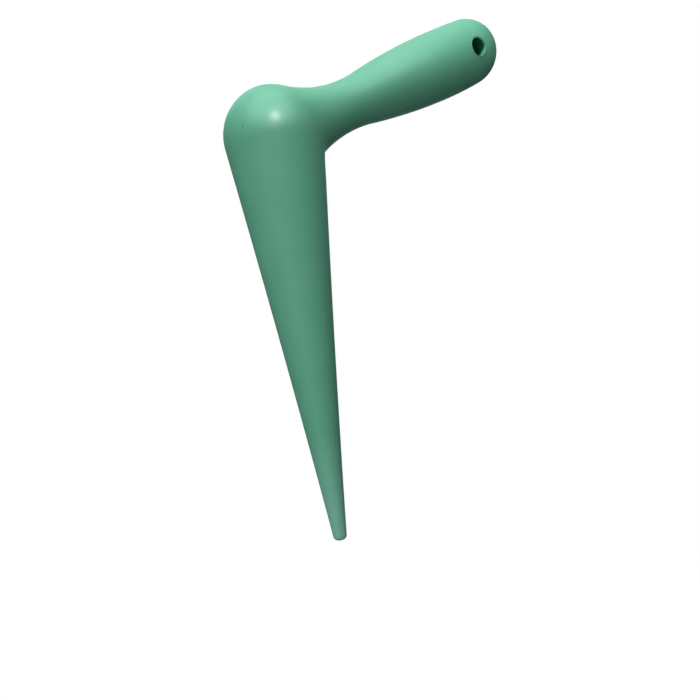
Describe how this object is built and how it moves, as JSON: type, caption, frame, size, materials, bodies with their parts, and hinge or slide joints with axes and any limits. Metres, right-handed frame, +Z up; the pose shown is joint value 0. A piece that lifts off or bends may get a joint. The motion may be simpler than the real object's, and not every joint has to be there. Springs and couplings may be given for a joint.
{
  "type": "seedling planter",
  "caption": "Hollow plastic hand dibber: a long blunt-pointed spike under a round dome, with a swelling side handle that ends in a lined hang hole, for pressing planting holes in soil.",
  "frame": {"origin": "middle of the small flat at the point of the spike", "axes": "+Z up the spike's axis to the dome, +X level from the spike towards the handle, +Y along the hang hole to the right half; the halves meet on the XZ plane"},
  "size_m": [0.167, 0.046, 0.2477],
  "materials": {
    "body_plastic": "satin mint-green moulded plastic",
    "sleeve_plastic": "satin mint-green moulded plastic, a little paler",
    "pin_plastic": "plain white moulded plastic"
  },
  "bodies": {
    "root": {"left_shell": "body_plastic", "right_shell": "body_plastic", "hang_sleeve": "sleeve_plastic", "locating_pins": "pin_plastic"}
  },
  "joints": []
}
